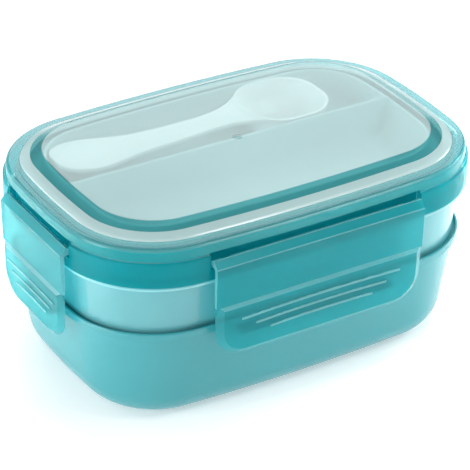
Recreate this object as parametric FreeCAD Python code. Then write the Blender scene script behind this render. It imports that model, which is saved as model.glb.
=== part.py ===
import FreeCAD, Part
import math
import os

V = FreeCAD.Vector

# Bento lunch box.  Millimetres, +Z up, long side along X, origin under the middle of the base.
# Every tier follows one outline: a rectangle with bowed sides and round corners.
# "Offset" below is the distance outward from that outline.

HALF_LENGTH = 89.0          # outline, middle of a short side
HALF_WIDTH = 54.0           # outline, middle of a long side
LONG_SIDE_RADIUS = 944.0    # bow of the long sides
SHORT_SIDE_RADIUS = 366.0   # bow of the short sides
CORNER_RADIUS = 29.6
CORE = -20.0                # offset where a floor or top panel takes over from the swept wall

# lower box
LOWER_FLOOR = 2.2
LOWER_LIP_UNDERSIDE = 48.6
LOWER_LEDGE = 50.8
LOWER_RIM_TOP = 52.6
LOWER_FOOT = 6.7            # offset where wall and floor would meet without the round
LOWER_WALL = 13.8           # offset of the wall under the lip
LOWER_LIP = 15.7
LOWER_WALL_THICKNESS = 2.2

# upper box
UPPER_BASE = 45.2
UPPER_FLOOR = 47.2
UPPER_SHOULDER = 50.9
UPPER_LIP_UNDERSIDE = 76.2
UPPER_LIP_TOP = 78.2
UPPER_RIM_TOP = 92.1
UPPER_FOOT = 10.0
UPPER_WALL = 12.6           # offset of the wall just above the lower box
UPPER_WALL_TOP = 14.8
UPPER_LIP = 17.8
UPPER_RIM = 12.9
UPPER_INSIDE = 11.2

# top tray
TRAY_UNDERSIDE = 81.3
TRAY_FLOOR = 82.9
TRAY_FLANGE_UNDERSIDE = 92.2
TRAY_FLANGE_TOP = 93.7
TRAY_WALL_TOP = 99.6
TRAY_WALL = -0.4            # offset of the wall's outer face at its top
TRAY_WALL_THICKNESS = 1.5
TRAY_FLANGE = 12.6
TRAY_LOCATOR = 10.8         # rib under the flange that drops inside the upper box
DIVIDER_TOP = 100.8
DIVIDER_Y = 3.1             # middle of the divider, behind the middle of the box

# lid, from the panel outward and down
LID_TOP = 103.1
LID_THICKNESS = 1.7
RIM_INNER = 5.7             # offset and height where the sloped step meets the raised rim
RIM_INNER_TOP = 100.4
RIM_OUTER = 10.0
RIM_OUTER_TOP = 98.7
LID_SHOULDER = 17.1
LID_SHOULDER_TOP = 97.3
SKIRT = 18.7
SKIRT_LEDGE = 91.2
SKIRT_BOTTOM = 78.6
LID_WALL = 1.5              # walls and lips below the panel
GATE_RADIUS = 6.0           # domed moulding mark in the middle of the panel
GATE_HEIGHT = 0.6
GATE_HALF = 4.0

# seal in its groove under the rim of the lid
SEAL_INNER = 5.8
SEAL_OUTER = 10.2
SEAL_BOTTOM = 93.75
SEAL_TOP = 96.8
SEAL_GAP = 0.05

# hinges: the latch frame has x along the hinge and y outward from the middle of the side
AXIS_OUT = 17.0             # hinge axis, outward from the outline
AXIS_Z = 86.9
BEAD_RADIUS = 1.6
STUB_RADIUS = 0.9
SOCKET_RADIUS = 1.0
BOSS_RADIUS = 1.45
BOSS_LENGTH = 3.6
BOSS_START_GAP = 0.35       # from the end of the bead to a boss
BOSS_POCKET = 0.3           # clearance of the latch round a boss
BEAD_INSET = 9.0            # bead ends this far inside the end of the latch
NOTCH_WALL = 14.3
NOTCH_BACK = 13.3
NOTCH_FLOOR = 84.1
NOTCH_TOP = 92.2
NOTCH_GAP = 0.9             # space at each end of a latch
NOTCH_END = 1.3             # wall beyond each end of a notch
BEYOND = 24.0               # outward reach of cutting shapes, clear of every face

# latches
LATCH_BOTTOM = 37.6
LATCH_INSIDE = 19.2
LATCH_FACE = 20.7
LATCH_STEP = 63.4           # height of the step between the plain and the ribbed part
LATCH_CORNER = 15.0
LATCH_BEVEL = 4.4
LATCH_LEAN = 0.8            # the sides of the lower part come in by this much
LATCH_BACK = 10.0           # planes, outward, between which the plate is trimmed to its outline
BEVEL_START = 19.6
BEVEL_END = 22.4
RIB_RADIUS = 0.75
RIB_SPACING = 4.35
TOP_RIB = 57.7              # height of the highest of the three ribs
RIB_COUNT = 3
HOOK_TOP = 48.4
HOOK_BOTTOM = 46.3
HOOK_FACE = 14.3            # offset of the hook's inner face

FRONT_HALF = 55.8           # half width of the two wide latches
SIDE_HALF = 29.5            # half width of the two narrow latches

# spoon
BOWL_X = 42.2
SPOON_Y = 28.9
BOWL_HALF_LENGTH = 22.0
BOWL_HALF_WIDTH = 21.5
BOWL_WALL = 1.5
SPOON_TOP = 99.5
HANDLE_END = -82.2
HANDLE_THICKNESS = 1.8
HANDLE_SAG = 2.6
ROOT_HALF = 15.0            # half widths of the handle at the bowl, the neck and the end
NECK_HALF = 7.6
END_HALF = 14.6

# each side of the box: turn about Z that brings the latch frame to it, and the middle of that side
SIDES = {
    "rear": (0, V(0, HALF_WIDTH, 0)),
    "left": (90, V(-HALF_LENGTH, 0, 0)),
    "front": (180, V(0, -HALF_WIDTH, 0)),
    "right": (270, V(HALF_LENGTH, 0, 0)),
}
LATCH_HALVES = {"front": FRONT_HALF, "rear": FRONT_HALF, "left": SIDE_HALF, "right": SIDE_HALF}


def corner_centre():
    """Centre of the corner arc that is tangent to both bowed sides."""
    long_centre = V(0, HALF_WIDTH - LONG_SIDE_RADIUS, 0)
    short_centre = V(HALF_LENGTH - SHORT_SIDE_RADIUS, 0, 0)
    reach_long = LONG_SIDE_RADIUS - CORNER_RADIUS
    reach_short = SHORT_SIDE_RADIUS - CORNER_RADIUS
    between = short_centre - long_centre
    gap = between.Length
    along = (reach_long ** 2 - reach_short ** 2 + gap ** 2) / (2 * gap)
    across = math.sqrt(reach_long ** 2 - along ** 2)
    unit = between / gap
    side = V(unit.y, -unit.x, 0)
    return long_centre + unit * along + side * across


def outline_arcs():
    """The eight arcs of the outline, anticlockwise: centre, radius, start angle, sweep."""
    c = corner_centre()
    long_y = HALF_WIDTH - LONG_SIDE_RADIUS
    short_x = HALF_LENGTH - SHORT_SIDE_RADIUS
    short_angle = math.degrees(math.atan2(c.y, c.x - short_x))
    long_angle = math.degrees(math.atan2(c.y - long_y, c.x))
    turn = long_angle - short_angle
    bow = 180 - 2 * long_angle
    return [
        (V(short_x, 0, 0), SHORT_SIDE_RADIUS, -short_angle, 2 * short_angle),
        (c, CORNER_RADIUS, short_angle, turn),
        (V(0, long_y, 0), LONG_SIDE_RADIUS, long_angle, bow),
        (V(-c.x, c.y, 0), CORNER_RADIUS, 180 - long_angle, turn),
        (V(-short_x, 0, 0), SHORT_SIDE_RADIUS, 180 - short_angle, 2 * short_angle),
        (V(-c.x, -c.y, 0), CORNER_RADIUS, 180 + short_angle, turn),
        (V(0, -long_y, 0), LONG_SIDE_RADIUS, 180 + long_angle, bow),
        (V(c.x, -c.y, 0), CORNER_RADIUS, 360 - long_angle, turn),
    ]


def on_arc(centre, radius, angle, offset, z):
    """Point at this angle on an outline arc, moved outward by the offset and up to z."""
    a = math.radians(angle)
    reach = radius + offset
    return V(centre.x + reach * math.cos(a), centre.y + reach * math.sin(a), z)


def outline_wire(offset, z):
    edges = []
    for centre, radius, start, sweep in outline_arcs():
        first = on_arc(centre, radius, start, offset, z)
        middle = on_arc(centre, radius, start + sweep / 2, offset, z)
        last = on_arc(centre, radius, start + sweep, offset, z)
        edges.append(Part.Arc(first, middle, last).toShape())
    return Part.Wire(edges)


def slab(offset, bottom, top):
    return Part.Face(outline_wire(offset, bottom)).extrude(V(0, 0, top - bottom))


def rounded(points, place):
    """Closed wire through (x, y) or (x, y, corner radius) points, each put in space by place()."""
    count = len(points)
    corners = []
    for i, point in enumerate(points):
        here = V(point[0], point[1], 0)
        radius = point[2] if len(point) > 2 else 0
        if not radius:
            corners.append((here, here, here))
            continue
        before = points[i - 1]
        after = points[(i + 1) % count]
        back = (V(before[0], before[1], 0) - here).normalize()
        ahead = (V(after[0], after[1], 0) - here).normalize()
        half = back.getAngle(ahead) / 2
        trim = radius / math.tan(half)
        bisector = (back + ahead).normalize()
        middle = here + bisector * (radius / math.sin(half) - radius)
        corners.append((here + back * trim, middle, here + ahead * trim))
    edges = []
    for i, (first, middle, last) in enumerate(corners):
        if (last - first).Length > 1e-6:
            edges.append(Part.Arc(place(first), place(middle), place(last)).toShape())
        following = corners[(i + 1) % count][0]
        if (following - last).Length > 1e-6:
            edges.append(Part.makeLine(place(last), place(following)))
    return Part.Wire(edges)


def ring(points):
    """Carry a closed (offset, height) section all the way round the outline."""
    sectors = []
    for centre, radius, start, sweep in outline_arcs():
        wire = rounded(points, lambda p: on_arc(centre, radius, start, p.x, p.y))
        sectors.append(Part.Face(wire).revolve(centre, V(0, 0, 1), sweep))
    return sectors[0].fuse(sectors[1:])


def box(x0, x1, y0, y1, z0, z1):
    return Part.makeBox(x1 - x0, y1 - y0, z1 - z0, V(x0, y0, z0))


def rod(radius, x0, x1, y, z):
    return Part.makeCylinder(radius, x1 - x0, V(x0, y, z), V(1, 0, 0))


def clean(shape):
    """One tidy solid out of a boolean result."""
    shape = shape.removeSplitter()
    solids = shape.Solids
    return max(solids, key=lambda s: s.Volume)


def to_side(shape, side):
    """Move a piece built in the latch frame to one side of the box."""
    turn, middle = SIDES[side]
    moved = shape.copy()
    moved.rotate(V(0, 0, 0), V(0, 0, 1), turn)
    moved.translate(middle)
    return moved


def from_side(shape, side):
    """Move a piece from one side of the box back into the latch frame."""
    turn, middle = SIDES[side]
    moved = shape.copy()
    moved.translate(-middle)
    moved.rotate(V(0, 0, 0), V(0, 0, 1), -turn)
    return moved


def lower_box():
    """Deep tier with a step inside its lip that the upper box rests on."""
    inside = LOWER_WALL - LOWER_WALL_THICKNESS
    rebate = LOWER_LIP - 1.2
    section = [
        (CORE, 0), (LOWER_FOOT, 0, 16.0), (LOWER_WALL, LOWER_LIP_UNDERSIDE),
        (LOWER_LIP, LOWER_LIP_UNDERSIDE, 0.5), (LOWER_LIP, LOWER_RIM_TOP, 0.8),
        (rebate, LOWER_RIM_TOP, 0.3), (rebate, LOWER_LEDGE), (inside, LOWER_LEDGE, 0.4),
        (LOWER_FOOT - 1.8, LOWER_FLOOR, 13.5), (CORE, LOWER_FLOOR),
    ]
    return clean(ring(section).fuse(slab(CORE, 0, LOWER_FLOOR)))


def upper_box():
    """Shallower tier: its foot nests in the lower box and its rim goes up inside the lid."""
    foot_inside = UPPER_FOOT - 1.7
    shoulder = UPPER_FOOT + 0.9
    section = [
        (CORE, UPPER_BASE), (UPPER_FOOT, UPPER_BASE, 4.0), (shoulder, UPPER_SHOULDER),
        (UPPER_WALL, UPPER_SHOULDER, 0.3), (UPPER_WALL_TOP, UPPER_LIP_UNDERSIDE),
        (UPPER_LIP, UPPER_LIP_UNDERSIDE, 0.7), (UPPER_LIP, UPPER_LIP_TOP, 0.9),
        (UPPER_RIM, UPPER_LIP_TOP), (UPPER_RIM, UPPER_RIM_TOP, 0.4), (UPPER_INSIDE, UPPER_RIM_TOP, 0.4),
        (UPPER_INSIDE, UPPER_LIP_TOP - 0.6), (shoulder - 0.3, UPPER_SHOULDER + 2.8),
        (shoulder - 1.7, UPPER_SHOULDER + 0.4), (foot_inside, UPPER_FLOOR, 3.2), (CORE, UPPER_FLOOR),
    ]
    return clean(ring(section).fuse(slab(CORE, UPPER_BASE, UPPER_FLOOR)))


def top_tray():
    """Shallow tray hung from its flange on the rim of the upper box."""
    inside = TRAY_WALL - TRAY_WALL_THICKNESS
    locator_bottom = TRAY_FLANGE_UNDERSIDE - 2.2
    locator_inside = TRAY_LOCATOR - 1.2
    section = [
        (CORE, TRAY_UNDERSIDE), (TRAY_WALL - 1.7, TRAY_UNDERSIDE, 8.5),
        (TRAY_WALL - 0.5, TRAY_FLANGE_UNDERSIDE, 0.8), (locator_inside, TRAY_FLANGE_UNDERSIDE),
        (locator_inside, locator_bottom, 0.3), (TRAY_LOCATOR, locator_bottom, 0.3),
        (TRAY_LOCATOR, TRAY_FLANGE_UNDERSIDE), (TRAY_FLANGE, TRAY_FLANGE_UNDERSIDE, 0.3),
        (TRAY_FLANGE, TRAY_FLANGE_TOP, 0.3), (TRAY_WALL - 0.3, TRAY_FLANGE_TOP, 0.6),
        (TRAY_WALL, TRAY_WALL_TOP, 0.5), (inside, TRAY_WALL_TOP, 0.5), (inside - 1.7, TRAY_FLOOR, 7.0),
        (CORE, TRAY_FLOOR),
    ]
    tray = ring(section).fuse(slab(CORE, TRAY_UNDERSIDE, TRAY_FLOOR))
    return clean(tray.fuse(tray_divider()))


def tray_divider():
    """Lengthwise wall between the food compartment and the spoon compartment."""
    foot = TRAY_FLOOR - 0.6
    flare = foot + 2.0
    section = [
        (DIVIDER_Y - 1.9, foot), (DIVIDER_Y - 1.1, flare), (DIVIDER_Y - 0.8, DIVIDER_TOP, 0.7),
        (DIVIDER_Y + 0.8, DIVIDER_TOP, 0.7), (DIVIDER_Y + 1.1, flare), (DIVIDER_Y + 1.9, foot),
    ]
    wire = rounded(section, lambda p: V(-HALF_LENGTH, p.x, p.y))
    wall = Part.Face(wire).extrude(V(2 * HALF_LENGTH, 0, 0))
    return wall.common(slab(TRAY_WALL - 1.0, TRAY_UNDERSIDE + 0.4, DIVIDER_TOP + 1))


def lid_shell():
    """Panel, sloped step, raised rim, shoulder and skirt in one section, with the seal groove below."""
    underside = LID_TOP - LID_THICKNESS
    wall_inside = LID_SHOULDER - LID_WALL
    skirt_inside = SKIRT - LID_THICKNESS
    shelf = SKIRT_LEDGE - LID_WALL
    roof = LID_SHOULDER_TOP - 1.6
    inner_lip = SEAL_INNER - LID_WALL
    outer_lip = SEAL_OUTER + 1.3
    groove_inner = SEAL_INNER - SEAL_GAP
    groove_outer = SEAL_OUTER + SEAL_GAP
    lip_bottom = TRAY_FLANGE_TOP + 0.9
    groove_top = SEAL_TOP + SEAL_GAP
    section = [
        (CORE, LID_TOP), (0.0, LID_TOP, 1.2), (RIM_INNER, RIM_INNER_TOP, 0.6),
        (RIM_OUTER, RIM_OUTER_TOP, 0.5), (RIM_OUTER + 0.7, LID_SHOULDER_TOP + 0.6, 0.4),
        (LID_SHOULDER, LID_SHOULDER_TOP, 2.0), (LID_SHOULDER + 0.3, SKIRT_LEDGE, 0.5),
        (SKIRT, SKIRT_LEDGE, 0.7), (SKIRT, SKIRT_BOTTOM, 0.3), (skirt_inside, SKIRT_BOTTOM),
        (skirt_inside, shelf), (wall_inside, shelf), (wall_inside, roof), (outer_lip, roof),
        (outer_lip, lip_bottom), (groove_outer, lip_bottom), (groove_outer, groove_top),
        (groove_inner, groove_top), (groove_inner, lip_bottom), (inner_lip, lip_bottom),
        (inner_lip, underside - 2.6), (-0.8, underside), (CORE, underside),
    ]
    return ring(section).fuse(slab(CORE, underside, LID_TOP))


def notch_block():
    """Thick band inside the skirt that the hinge notches are sunk into."""
    bottom = NOTCH_FLOOR - 1.2
    outside = SKIRT - 0.8
    ledge = SKIRT_LEDGE - 0.8
    above = LID_SHOULDER - 0.7
    top = NOTCH_TOP + 1.2
    return ring([
        (NOTCH_BACK, bottom), (outside, bottom), (outside, ledge), (above, ledge), (above, top),
        (NOTCH_BACK, top),
    ])


def hinge_boss(start):
    """Post that stands on the notch floor and holds one stub; it starts at x = start."""
    bottom = NOTCH_FLOOR - 0.6
    end = start + BOSS_LENGTH
    head = rod(BOSS_RADIUS, start, end, AXIS_OUT, AXIS_Z)
    post = box(start, end, AXIS_OUT - BOSS_RADIUS, AXIS_OUT + BOSS_RADIUS, bottom, AXIS_Z)
    web = box(start, end, NOTCH_BACK - 2.0, AXIS_OUT, bottom, AXIS_Z - 1.0)
    return head.fuse([post, web])


def hinge_seat(lid_body, side, half):
    """Sink one hinge notch into the lid and stand two bosses with sockets in it."""
    notch_half = half + NOTCH_GAP
    reach = notch_half + NOTCH_END
    window = box(-reach, reach, 0.0, BEYOND, NOTCH_FLOOR - 4, NOTCH_TOP + 4)
    body = lid_body.fuse(notch_block().common(to_side(window, side)))
    notch = box(-notch_half, notch_half, NOTCH_WALL - 6.0, BEYOND, NOTCH_FLOOR, NOTCH_TOP)
    behind_notch = from_side(slab(NOTCH_WALL, NOTCH_FLOOR - 1, NOTCH_TOP + 1), side)
    body = body.cut(to_side(notch.cut(behind_notch), side))
    start = half - BEAD_INSET + BOSS_START_GAP
    boss = hinge_boss(start)
    bosses = boss.fuse(boss.mirror(V(0, 0, 0), V(1, 0, 0)))
    behind_boss = from_side(slab(NOTCH_BACK + 0.4, NOTCH_FLOOR - 4, NOTCH_TOP + 4), side)
    body = body.fuse(to_side(bosses.cut(behind_boss), side))
    deep = start + BOSS_LENGTH + 0.4
    sockets = rod(SOCKET_RADIUS, -deep, deep, AXIS_OUT, AXIS_Z)
    return body.cut(to_side(sockets, side))


def lid():
    """Lid shell with its four hinge seats and the domed moulding mark on the panel."""
    body = lid_shell()
    for side, half in LATCH_HALVES.items():
        body = hinge_seat(body, side, half)
    gate = Part.makeSphere(GATE_RADIUS, V(0, 0, LID_TOP + GATE_HEIGHT - GATE_RADIUS))
    cap = box(-GATE_HALF, GATE_HALF, -GATE_HALF, GATE_HALF, LID_TOP - 1, LID_TOP + 1)
    return clean(body.fuse(gate.common(cap)))


def lid_seal():
    return clean(ring([
        (SEAL_INNER, SEAL_BOTTOM, 0.4), (SEAL_OUTER, SEAL_BOTTOM, 0.4),
        (SEAL_OUTER, SEAL_TOP, 0.3), (SEAL_INNER, SEAL_TOP, 0.3),
    ]))


def grip_rib(half_length, z, out):
    """Slim raised bar on the latch face, its middle a little higher than its ends."""
    drop = half_length * 0.02
    start = V(-half_length, out, z - drop)
    end = V(half_length, out, z - drop)
    path = Part.Arc(start, V(0, out, z), end).toShape()
    circle = Part.makeCircle(RIB_RADIUS, start, V(1, 0, 0))
    bar = Part.Wire(path).makePipeShell([Part.Wire(circle)], True, False)
    return bar.fuse([Part.makeSphere(RIB_RADIUS, start), Part.makeSphere(RIB_RADIUS, end)])


def latch_outline(half, inset, out):
    """Front view of the ribbed lower part: straight top, slightly leaning sides, round lower corners."""
    side = half - inset
    foot = side - LATCH_LEAN
    bottom = LATCH_BOTTOM + inset
    corner = LATCH_CORNER - inset
    points = [
        (-side, LATCH_STEP + 1.6), (side, LATCH_STEP + 1.6), (side, LATCH_STEP - 3),
        (foot, bottom, corner), (-foot, bottom, corner), (-side, LATCH_STEP - 3),
    ]
    return rounded(points, lambda p: V(p.x, out, p.y))


def latch_plate(half):
    """Latch plate with its bevelled top, the step across it and the bevelled lower border."""
    bead_top = AXIS_Z + BEAD_RADIUS
    section = [
        (AXIS_OUT, bead_top), (AXIS_OUT + 1.2, bead_top + 0.6, 0.5), (LATCH_FACE + 0.7, 85.4, 1.0),
        (LATCH_FACE, LATCH_STEP + 1.5), (LATCH_FACE + 1.2, LATCH_STEP, 0.5),
        (LATCH_FACE + 1.0, 50.6, 40.0), (LATCH_FACE + 0.3, LATCH_BOTTOM, 0.7),
        (LATCH_INSIDE - 0.8, LATCH_BOTTOM, 0.5), (LATCH_INSIDE + 0.3, 50.6, 40.0),
        (LATCH_INSIDE + 0.3, LATCH_STEP - 1.0), (LATCH_INSIDE, LATCH_STEP + 3.0),
        (LATCH_INSIDE, 85.0, 1.0), (AXIS_OUT, AXIS_Z - BEAD_RADIUS),
    ]
    wire = rounded(section, lambda p: V(-half, p.x, p.y))
    plate = Part.Face(wire).extrude(V(2 * half, 0, 0))
    back_face = Part.Face(latch_outline(half, 0, LATCH_BACK))
    straight = back_face.extrude(V(0, BEVEL_START - LATCH_BACK, 0))
    bevel_wires = [latch_outline(half, 0, BEVEL_START), latch_outline(half, LATCH_BEVEL, BEVEL_END)]
    bevelled = Part.makeLoft(bevel_wires, True, True)
    upper = box(-half, half, LATCH_BACK, BEVEL_END, LATCH_STEP + 1.5, NOTCH_TOP)
    return plate.common(straight.fuse([bevelled, upper]))


def latch_hook(half, side):
    """Ledge behind the plate that catches under the lip of the lower box."""
    span = half - 15.0
    bar = box(-span, span, LATCH_BACK, LATCH_INSIDE + 1, HOOK_BOTTOM, HOOK_TOP)
    return bar.cut(from_side(slab(HOOK_FACE, HOOK_BOTTOM - 1, HOOK_TOP + 1), side))


def latch(side, half):
    """Latch plate with hinge bead and stubs, hook, stepped grip and three ribs."""
    bead_end = half - BEAD_INSET
    stub_end = bead_end + BOSS_LENGTH
    pocket_end = stub_end + 0.7
    body = latch_plate(half).fuse(rod(BEAD_RADIUS, -half, half, AXIS_OUT, AXIS_Z))
    pocket = rod(BOSS_RADIUS + BOSS_POCKET, bead_end, pocket_end, AXIS_OUT, AXIS_Z)
    pocket = pocket.fuse(box(bead_end, pocket_end, 12.0, LATCH_INSIDE - 0.2, AXIS_Z - 4, AXIS_Z))
    body = body.cut([pocket, pocket.mirror(V(0, 0, 0), V(1, 0, 0))])
    stubs = rod(STUB_RADIUS, -stub_end, stub_end, AXIS_OUT, AXIS_Z)
    body = body.fuse([stubs, latch_hook(half, side)])
    for step in range(RIB_COUNT):
        out = LATCH_FACE + 1.0 - 0.08 * step
        body = body.fuse(grip_rib(half * (0.76 - 0.135 * step), TOP_RIB - RIB_SPACING * step, out))
    return clean(to_side(body, side))


def bowl_level(inset, radius, z):
    """Rounded outline of the bowl at one height, drawn in from its widest outline by inset."""
    half_x = BOWL_HALF_LENGTH - inset
    half_y = BOWL_HALF_WIDTH - inset
    points = [
        (BOWL_X - half_x, SPOON_Y - half_y, radius), (BOWL_X + half_x, SPOON_Y - half_y, radius),
        (BOWL_X + half_x, SPOON_Y + half_y, radius), (BOWL_X - half_x, SPOON_Y + half_y, radius),
    ]
    return rounded(points, lambda p: V(p.x, p.y, z))


def spoon():
    """Deep square-bowled spoon; it stands on its bowl and the wide handle reaches back along the box."""
    foot = TRAY_FLOOR + 0.1
    belly = foot + 7.0
    outer = Part.makeLoft([
        bowl_level(8.0, 11.0, foot), bowl_level(2.3, 16.0, belly), bowl_level(0, 18.0, SPOON_TOP),
    ], True, True)
    inner = Part.makeLoft([
        bowl_level(BOWL_WALL + 7.6, 10.0, foot + BOWL_WALL),
        bowl_level(BOWL_WALL + 2.3, 14.5, belly + BOWL_WALL / 2),
        bowl_level(BOWL_WALL, 16.5, SPOON_TOP + 0.1),
    ], True, True)
    return clean(outer.cut(inner).fuse(spoon_handle().cut(inner)))


def arched_strip(first, last, sag, thickness):
    """Side view of the handle: a shallow arc with parallel faces, drawn in the XZ plane."""
    down = V(0, 0, -thickness)
    middle = (first + last) / 2 - V(0, 0, sag)
    top = Part.Arc(first, middle, last).toShape()
    low = Part.Arc(first + down, middle + down, last + down).toShape()
    ends = [Part.makeLine(first, first + down), Part.makeLine(last, last + down)]
    return Part.Face(Part.Wire(Part.__sortEdges__([top, low] + ends)))


def spoon_handle():
    """Handle with a narrow neck and a wide round end, cut out of the arched strip."""
    root = BOWL_X - BOWL_HALF_LENGTH + 4.0
    rear_end = V(HANDLE_END - 2, 0, SPOON_TOP - 0.1)
    side_view = arched_strip(V(root, 0, SPOON_TOP - 0.4), rear_end, HANDLE_SAG, HANDLE_THICKNESS)
    band = side_view.extrude(V(0, 60, 0))
    below = 80.0
    plan = [
        (root, ROOT_HALF), (root - 11.0, NECK_HALF + 1.2), (-14.0, NECK_HALF), (-45.0, 10.4),
        (-69.0, END_HALF), (HANDLE_END + 3.7, END_HALF - 3.7), (HANDLE_END, 0),
    ]
    edge = Part.BSplineCurve()
    edge.interpolate([V(x, SPOON_Y + y, below) for x, y in plan])
    upper = edge.toShape()
    lower = upper.mirror(V(0, SPOON_Y, 0), V(0, 1, 0))
    close = Part.makeLine(V(root, SPOON_Y + ROOT_HALF, below), V(root, SPOON_Y - ROOT_HALF, below))
    face = Part.Face(Part.Wire(Part.__sortEdges__([upper, lower, close])))
    return band.common(face.extrude(V(0, 0, 30)))


def save(name, shape):
    if not shape.isValid():
        raise ValueError(name + " is not a valid solid")
    shape.exportStep("parts/" + name + ".step")


os.makedirs("parts", exist_ok=True)
save("lower_box", lower_box())
save("upper_box", upper_box())
save("top_tray", top_tray())
save("lid", lid())
save("lid_seal", lid_seal())
for latch_side, latch_half in LATCH_HALVES.items():
    save(latch_side + "_latch", latch(latch_side, latch_half))
save("spoon", spoon())
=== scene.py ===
import math

import bpy
from mathutils import Matrix, Vector

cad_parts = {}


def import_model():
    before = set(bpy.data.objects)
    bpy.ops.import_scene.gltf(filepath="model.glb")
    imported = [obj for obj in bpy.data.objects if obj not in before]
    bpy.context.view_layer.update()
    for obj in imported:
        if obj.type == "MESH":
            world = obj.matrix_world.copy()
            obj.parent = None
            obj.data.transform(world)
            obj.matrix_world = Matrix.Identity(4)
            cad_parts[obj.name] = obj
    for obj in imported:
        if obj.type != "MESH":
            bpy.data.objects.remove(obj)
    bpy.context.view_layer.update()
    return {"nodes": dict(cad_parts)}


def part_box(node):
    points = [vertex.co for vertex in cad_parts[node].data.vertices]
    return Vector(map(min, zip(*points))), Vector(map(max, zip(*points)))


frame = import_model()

NODES = frame["nodes"]

# camera: degrees round and above the box, then metres and millimetres of lens
AZIMUTH = -31.52
ELEVATION = 30.24
ROLL = 0.72
DISTANCE = 1.19507
TARGET = Vector((-0.00089, 0.00006, 0.05521))
LENS_MM = 190.54
SENSOR_MM = 36.0
SHIFT_Y = -0.02182
FAR_CLIP = 50.0

# a point inside the box: a face that looks away from it is an outer face
BODY_CENTRE = Vector((0, 0, 0.06))

# heights on the lid that part one visible zone from the next, from the top down
PANEL_EDGE = 0.1030
RIM_TOP = 0.1003
RIM_FOOT = 0.0986
RIM_LINE_FOOT = 0.0981
SHOULDER = 0.0972
LEDGE = 0.0912
RIM_FLAT = 0.96             # upward part of the normal on the level top beside the slope
TURNED_UP = 0.3             # upward part of the normal where a rounding still faces up

# heights on the latches, and distances measured from a latch plate's outer face and ends
LATCH_BEVEL_FOOT = 0.0850
LATCH_STEP = 0.0630         # the step between the upper and the lower half of the plate
HOOK_TOP = 0.0486           # the ledge behind a latch that catches under the lower box's lip
HOOK_FOOT = 0.0460
HOOK_DEPTH = 0.0035
LATCH_END = 0.0003          # end faces of a latch plate
RIB_HEIGHT = 0.0005         # the part of a latch that only its ribs reach
CAP_SLOPE = (0.60, 0.70)    # how far the flat bevel at the top of a latch faces up
LATCH_BACK = -0.3           # a face that looks this far inward is the back of the plate
LATCH_FLAT = 0.97           # a face that looks this far outward is the flat of the plate
STEP_TURNED_UP = 0.05

# heights on the two boxes: the lip band between the lip heights gets a painted highlight, the
# rebate above the ledge height painted shade
LIP_HEIGHTS = (0.0762, 0.0784)
LEDGE_HEIGHT = 0.0506       # foot of the rebate in the lower box's lip

# plastics
PLASTIC_IOR = 1.49
CLOUD_SCALE = 14.0
WEAR_SCALE = 60.0
GRAIN_SCALE = 900.0
GRAIN_DEPTH = 0.0002
WEAR_RANGE = (-0.01, 0.015)     # how far the roughness strays from its own value
OPAQUE_CLOUD = 0.04
CLEAR_CLOUD = 0.1
CLEAR_GRAIN = 0.02
CLEAR_ROUGHNESS = 0.14
CLEAR_GLOW = 0.3                # share of the milky part that lets light through
HAZE_BLEND = 0.35
MIRROR_POWER = 5.0
MIRROR_RANGE = (0.04, 0.9)      # mirror part seen straight on and at a grazing angle

# stage
FLOOR_HALF = 6.0
FLOOR_DROP = 0.0002
FLOOR_GLOW = 0.35
SKY_STRENGTH = 0.52
BOX_MIDDLE = (0, 0, 0.05)
DOWN_LAMP_HEIGHT = 0.7
DOWN_LAMP_SIZE = 0.2


# ---------------------------------------------------------------- materials

def new_material(name):
    material = bpy.data.materials.new(name)
    material.use_nodes = True
    tree = material.node_tree
    tree.nodes.clear()
    return material, tree


def noise(tree, scale, detail=3.0):
    coords = tree.nodes.new("ShaderNodeTexCoord")
    texture = tree.nodes.new("ShaderNodeTexNoise")
    texture.inputs["Scale"].default_value = scale
    texture.inputs["Detail"].default_value = detail
    tree.links.new(coords.outputs["Object"], texture.inputs["Vector"])
    return texture.outputs["Fac"]


def spread(tree, source, low, high, start=0.3, stop=0.7):
    """Stretch the part of an output from start to stop over the range low to high."""
    node = tree.nodes.new("ShaderNodeMapRange")
    node.inputs["From Min"].default_value = start
    node.inputs["From Max"].default_value = stop
    node.inputs["To Min"].default_value = low
    node.inputs["To Max"].default_value = high
    tree.links.new(source, node.inputs["Value"])
    return node.outputs["Result"]


def moulded(tree, shader, colour, roughness, cloud, grain):
    """Moulded surface: faint flow clouds in the colour, uneven gloss and a very fine grain."""
    mix = tree.nodes.new("ShaderNodeMix")
    mix.data_type = "RGBA"
    mix.inputs["A"].default_value = (*colour, 1)
    mix.inputs["B"].default_value = (*(c * (1 - cloud) for c in colour), 1)
    tree.links.new(spread(tree, noise(tree, CLOUD_SCALE), 0.0, 1.0), mix.inputs["Factor"])
    tree.links.new(mix.outputs["Result"], shader.inputs["Base Color"])
    wear = noise(tree, WEAR_SCALE, detail=4.0)
    uneven = spread(tree, wear, roughness + WEAR_RANGE[0], roughness + WEAR_RANGE[1])
    tree.links.new(uneven, shader.inputs["Roughness"])
    bump = tree.nodes.new("ShaderNodeBump")
    bump.inputs["Strength"].default_value = grain
    bump.inputs["Distance"].default_value = GRAIN_DEPTH
    tree.links.new(noise(tree, GRAIN_SCALE, detail=2.0), bump.inputs["Height"])
    tree.links.new(bump.outputs["Normal"], shader.inputs["Normal"])
    shader.inputs["IOR"].default_value = PLASTIC_IOR


def finish_surface(tree, socket):
    output = tree.nodes.new("ShaderNodeOutputMaterial")
    tree.links.new(socket, output.inputs["Surface"])


def opaque_plastic(name, colour, roughness, subsurface, grain=0.03):
    material, tree = new_material(name)
    shader = tree.nodes.new("ShaderNodeBsdfPrincipled")
    moulded(tree, shader, colour, roughness, OPAQUE_CLOUD, grain)
    shader.inputs["Specular IOR Level"].default_value = 0.6
    shader.inputs["Subsurface Weight"].default_value = subsurface
    shader.inputs["Subsurface Radius"].default_value = (0.6, 1.0, 1.0)
    shader.inputs["Subsurface Scale"].default_value = 0.004
    finish_surface(tree, shader.outputs[0])
    return material


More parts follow.
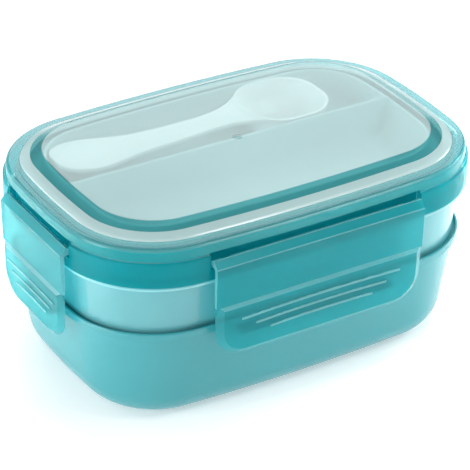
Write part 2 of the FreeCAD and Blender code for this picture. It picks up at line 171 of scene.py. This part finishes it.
def mixed(tree, factor, first, second):
    """Mix two shaders by a number or by another node's output."""
    node = tree.nodes.new("ShaderNodeMixShader")
    if isinstance(factor, float):
        node.inputs["Fac"].default_value = factor
    else:
        tree.links.new(factor, node.inputs["Fac"])
    tree.links.new(first, node.inputs[1])
    tree.links.new(second, node.inputs[2])
    return node.outputs[0]


def grazing(tree, blend):
    """0 where a surface faces the eye, rising to 1 at its edge, from both sides of a wall."""
    node = tree.nodes.new("ShaderNodeLayerWeight")
    node.inputs["Blend"].default_value = blend
    return node.outputs["Facing"]


def clear_plastic(name, tint, haze, haze_amount, edge_amount, gloss=1.0):
    """See-through plastic: a tinted clear part, a milky part that thickens at grazing angles,
    and gloss over both."""
    material, tree = new_material(name)
    body = tree.nodes.new("ShaderNodeBsdfPrincipled")
    moulded(tree, body, haze, CLEAR_ROUGHNESS, CLEAR_CLOUD, CLEAR_GRAIN)
    body.inputs["Specular IOR Level"].default_value = 0.25 * gloss
    through = tree.nodes.new("ShaderNodeBsdfTranslucent")
    through.inputs["Color"].default_value = (*haze, 1)
    milky = mixed(tree, CLEAR_GLOW, body.outputs[0], through.outputs[0])
    clear = tree.nodes.new("ShaderNodeBsdfTransparent")
    clear.inputs["Color"].default_value = (*tint, 1)
    amount = spread(tree, grazing(tree, HAZE_BLEND), haze_amount, edge_amount, 0.0, 1.0)
    surface = mixed(tree, amount, clear.outputs[0], milky)
    if gloss:
        shine = tree.nodes.new("ShaderNodeBsdfGlossy")
        shine.inputs["Roughness"].default_value = CLEAR_ROUGHNESS
        power = tree.nodes.new("ShaderNodeMath")
        power.operation = "POWER"
        power.inputs[1].default_value = MIRROR_POWER
        tree.links.new(grazing(tree, 0.5), power.inputs[0])
        low, high = (share * gloss for share in MIRROR_RANGE)
        mirror = spread(tree, power.outputs[0], low, high, 0.0, 1.0)
        surface = mixed(tree, mirror, surface, shine.outputs[0])
    finish_surface(tree, surface)
    return material


# name, colour, roughness, subsurface
LOWER = opaque_plastic("lower_teal", (0.052, 0.355, 0.395), 0.20, 0.1)
UPPER = opaque_plastic("upper_pale_teal", (0.14, 0.45, 0.49), 0.16, 0.15)
# lighter copy of the pale plastic for the lip band under the lid's skirt: a painted highlight on
# the lip's rounding
UPPER_LIP_PAINTED_HIGHLIGHT = opaque_plastic("upper_lip_painted_highlight", (0.24, 0.60, 0.64), 0.14, 0.15)
# darker copy of the lower box's plastic for the rebate between the two boxes: painted shade
LOWER_LEDGE_PAINTED_SHADE = opaque_plastic("lower_ledge_painted_shade", (0.012, 0.36, 0.40), 0.35, 0.1)
TRAY = opaque_plastic("tray_pale", (0.49, 0.74, 0.75), 0.35, 0.2, grain=0.01)
SEAL = opaque_plastic("seal_milky", (0.75, 0.88, 0.88), 0.5, 0.3)
SPOON = opaque_plastic("spoon_milky", (0.88, 0.95, 0.95), 0.35, 0.3, grain=0.01)

# name, clear tint, milky colour, milky share straight on and at a grazing angle
PANEL = clear_plastic("lid_panel", (0.90, 0.985, 0.985), (0.78, 0.90, 0.90), 0.27, 0.46)
# whiter, glossier copy of the panel plastic for the level top beside the slope: painted highlight
PANEL_RIM_PAINTED_HIGHLIGHT = clear_plastic(
    "lid_panel_rim_painted_highlight", (0.90, 0.98, 0.98), (0.85, 0.95, 0.95), 0.5, 0.7, gloss=1.3)
SLOPE = clear_plastic("lid_slope", (0.42, 0.80, 0.82), (0.07, 0.43, 0.46), 0.42, 0.56, gloss=0.5)
RIM = clear_plastic("lid_rim", (0.90, 0.98, 0.98), (0.84, 0.98, 0.98), 0.65, 0.75)
# whiter, glossier copy of the rim plastic for the rim's outer rounding: a painted highlight line
RIM_LINE_PAINTED_HIGHLIGHT = clear_plastic(
    "lid_rim_line_painted_highlight", (0.90, 0.98, 0.98), (0.90, 0.97, 0.96), 0.75, 0.8, gloss=1.2)
BAND = clear_plastic("lid_band", (0.50, 0.84, 0.86), (0.10, 0.46, 0.49), 0.35, 0.6)
# whiter copy of the wall plastic for the shoulder's rounding: painted highlight
SHOULDER_PAINTED_HIGHLIGHT = clear_plastic(
    "lid_shoulder_painted_highlight", (0.62, 0.92, 0.93), (0.15, 0.55, 0.57), 0.42, 0.75, gloss=0.9)
WALL = clear_plastic("lid_wall", (0.26, 0.70, 0.74), (0.012, 0.48, 0.52), 0.60, 0.80, gloss=0.5)
SKIRT = clear_plastic("lid_skirt", (0.03, 0.68, 0.74), (0.003, 0.51, 0.56), 0.42, 0.62, gloss=0.25)
INSIDE = clear_plastic("lid_inside", (0.93, 0.985, 0.985), (0.5, 0.8, 0.82), 0.03, 0.1, gloss=0.0)
LATCH_UPPER = clear_plastic(
    "latch_upper", (0.22, 0.82, 0.86), (0.018, 0.54, 0.58), 0.35, 0.6, gloss=0.4)
# lighter, milkier copy of the latch plastic for the top bevel: painted light
LATCH_CAP_PAINTED_LIGHT = clear_plastic(
    "latch_cap_painted_light", (0.22, 0.82, 0.86), (0.02, 0.60, 0.65), 0.50, 0.70, gloss=0.4)
LATCH_LOWER = clear_plastic(
    "latch_lower", (0.22, 0.82, 0.86), (0.018, 0.54, 0.58), 0.35, 0.6, gloss=0.4)
# lighter, glossier copy of the latch plastic for the rounded border of the lower plate: painted
# highlight
LATCH_BORDER_PAINTED_HIGHLIGHT = clear_plastic(
    "latch_border_painted_highlight", (0.34, 0.86, 0.89), (0.05, 0.58, 0.62), 0.40, 0.7, gloss=0.7)
# much lighter, glossier copy of the latch plastic for ribs, plate ends and the step: painted
# highlight
LATCH_EDGE_PAINTED_HIGHLIGHT = clear_plastic(
    "latch_edge_painted_highlight", (0.55, 0.90, 0.92), (0.24, 0.72, 0.75), 0.6, 0.8, gloss=0.9)
# dark, dull copy of the latch plastic for the catch ledge behind the plate: painted shadow
LATCH_HOOK_PAINTED_SHADE = clear_plastic(
    "latch_hook_painted_shade", (0.10, 0.62, 0.67), (0.003, 0.30, 0.34), 0.65, 0.8, gloss=0.0)
LATCH_INSIDE = clear_plastic(
    "latch_inside", (0.78, 0.96, 0.97), (0.01, 0.50, 0.54), 0.06, 0.25, gloss=0.0)


# ---------------------------------------------------------------- zones

def give(node, material):
    for slot in NODES[node].material_slots:
        slot.material = material


def give_zones(node, pick):
    """One material per face, picked by its middle, its normal and whether it looks outward."""
    mesh = NODES[node].data
    mesh.materials.clear()
    order = []
    for face in mesh.polygons:
        outward = (face.center - BODY_CENTRE).dot(face.normal) > 0
        material = pick(face.center, face.normal, outward)
        if material not in order:
            order.append(material)
            mesh.materials.append(material)
        face.material_index = order.index(material)


def lid_zone(place, normal, outward):
    if not outward:
        return INSIDE
    if place.z > PANEL_EDGE:
        return PANEL
    if place.z > RIM_TOP:
        # the level top beside the slope gets the painted highlight
        return PANEL_RIM_PAINTED_HIGHLIGHT if normal.z > RIM_FLAT else SLOPE
    if place.z > RIM_FOOT:
        return RIM
    if place.z > SHOULDER:
        # the upward rounding below the rim gets the painted highlight line
        return RIM_LINE_PAINTED_HIGHLIGHT if place.z > RIM_LINE_FOOT and normal.z > TURNED_UP else BAND
    if place.z > LEDGE:
        # the upward-facing shoulder rounding gets the painted highlight, the rest of the wall its
        # own colour
        return SHOULDER_PAINTED_HIGHLIGHT if normal.z > TURNED_UP else WALL
    return SKIRT


def latch_zone(node, out):
    """Zones of one latch; out is the level direction that its plate faces."""
    low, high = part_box(node)
    along = Vector((abs(out.y), abs(out.x), 0))
    end = high.dot(along) - LATCH_END
    reach = max(low.dot(out), high.dot(out))

    def pick(place, normal, _):
        facing = normal.dot(out)
        depth = place.dot(out)
        # the catch ledge behind the plate gets the painted shadow
        if HOOK_FOOT < place.z < HOOK_TOP and depth < reach - HOOK_DEPTH:
            return LATCH_HOOK_PAINTED_SHADE
        if facing < LATCH_BACK:
            return LATCH_INSIDE
        # ribs and plate ends get the painted highlight
        if depth > reach - RIB_HEIGHT or abs(place.dot(along)) > end:
            return LATCH_EDGE_PAINTED_HIGHLIGHT
        # the top bevel gets the lighter copy, painted light
        if CAP_SLOPE[0] < normal.z < CAP_SLOPE[1] and place.z > LATCH_BEVEL_FOOT:
            return LATCH_CAP_PAINTED_LIGHT
        # the upward faces of the step get the painted highlight
        if normal.z > STEP_TURNED_UP and place.z > LATCH_STEP:
            return LATCH_EDGE_PAINTED_HIGHLIGHT
        if place.z > LATCH_STEP:
            return LATCH_UPPER
        # the flat of the lower plate keeps the latch colour, its rounded border gets the painted
        # highlight
        return LATCH_LOWER if facing > LATCH_FLAT else LATCH_BORDER_PAINTED_HIGHLIGHT
    return pick


def lower_zone(place, _, outward):
    """The rebate inside the lip, the gap between the two boxes, gets a darker colour: painted
    shade.
    """
    return LOWER_LEDGE_PAINTED_SHADE if place.z > LEDGE_HEIGHT and not outward else LOWER


def upper_zone(place, _, __):
    # the lip band gets the lighter material, a painted highlight
    return UPPER_LIP_PAINTED_HIGHLIGHT if LIP_HEIGHTS[0] < place.z < LIP_HEIGHTS[1] else UPPER


give_zones("lower_box", lower_zone)
give_zones("upper_box", upper_zone)
give("top_tray", TRAY)
give("lid_seal", SEAL)
give("spoon", SPOON)
give_zones("lid", lid_zone)
LATCH_OUT = {"front": (0, -1, 0), "rear": (0, 1, 0), "left": (-1, 0, 0), "right": (1, 0, 0)}
for side, direction in LATCH_OUT.items():
    latch = side + "_latch"
    give_zones(latch, latch_zone(latch, Vector(direction)))


# ---------------------------------------------------------------- stage, light, camera

def floor():
    mesh = bpy.data.meshes.new("floor")
    corners = [(x * FLOOR_HALF, y * FLOOR_HALF, 0) for x, y in ((-1, -1), (1, -1), (1, 1), (-1, 1))]
    mesh.from_pydata(corners, [], [(0, 1, 2, 3)])
    plane = bpy.data.objects.new("floor", mesh)
    plane.location.z = -FLOOR_DROP
    bpy.context.collection.objects.link(plane)
    material, tree = new_material("floor_white")
    shader = tree.nodes.new("ShaderNodeBsdfPrincipled")
    shader.inputs["Base Color"].default_value = (0.9, 0.9, 0.9, 1)
    shader.inputs["Roughness"].default_value = 0.9
    shader.inputs["Specular IOR Level"].default_value = 0.1
    shader.inputs["Emission Color"].default_value = (1, 1, 1, 1)
    shader.inputs["Emission Strength"].default_value = FLOOR_GLOW
    finish_surface(tree, shader.outputs[0])
    mesh.materials.append(material)


def area_light(name, location, size, size_y, power, target=BOX_MIDDLE, beam=180):
    data = bpy.data.lights.new(name, "AREA")
    data.shape = "RECTANGLE"
    data.size = size
    data.size_y = size_y
    data.energy = power
    data.spread = math.radians(beam)
    lamp = bpy.data.objects.new(name, data)
    lamp.location = location
    aim = Vector(target) - Vector(location)
    lamp.rotation_euler = aim.to_track_quat("-Z", "Y").to_euler()
    bpy.context.collection.objects.link(lamp)


def down_light(name, x, y, power, beam):
    """A small lamp with a narrow beam that looks straight down at the floor."""
    size = DOWN_LAMP_SIZE
    area_light(name, (x, y, DOWN_LAMP_HEIGHT), size, size, power, (x, y, 0), beam)


def world(strength):
    scene_world = bpy.data.worlds.new("studio")
    scene_world.use_nodes = True
    background = scene_world.node_tree.nodes["Background"]
    background.inputs["Color"].default_value = (1, 1, 1, 1)
    background.inputs["Strength"].default_value = strength
    bpy.context.scene.world = scene_world


def camera():
    data = bpy.data.cameras.new("camera")
    data.lens = LENS_MM
    data.sensor_width = SENSOR_MM
    data.shift_y = SHIFT_Y
    data.clip_end = FAR_CLIP
    eye = bpy.data.objects.new("camera", data)
    a, e = math.radians(AZIMUTH), math.radians(ELEVATION)
    back = Vector((math.sin(a) * math.cos(e), -math.cos(a) * math.cos(e), math.sin(e)))
    eye.rotation_mode = "QUATERNION"
    turn = (-back).to_track_quat("-Z", "Y")
    roll = Matrix.Rotation(math.radians(ROLL), 4, "Z").to_quaternion()
    eye.rotation_quaternion = turn @ roll
    eye.location = TARGET + back * DISTANCE
    bpy.context.collection.objects.link(eye)
    bpy.context.scene.camera = eye


floor()
world(SKY_STRENGTH)
area_light("key", (-2.6, 0.1, 0.80), 1.35, 1.2, 34)
area_light("back_left", (-1.35, 1.8, 0.9), 0.8, 0.8, 6)
area_light("back", (1.0, 1.65, 1.15), 1.6, 1.2, 14)
area_light("rim", (1.5, -0.1, 0.6), 0.7, 0.7, 8)
area_light("spark", (0.85, -0.95, 1.40), 0.7, 0.25, 7)
# beside the two ends, and before the right of the front
down_light("down_left", -0.42, 0.16, 7.0, 40)
down_light("down_right", 0.36, 0.0, 1.2, 36)
down_light("down_front", 0.14, -0.30, 0.5, 36)
camera()
bpy.context.scene.view_settings.view_transform = "Standard"
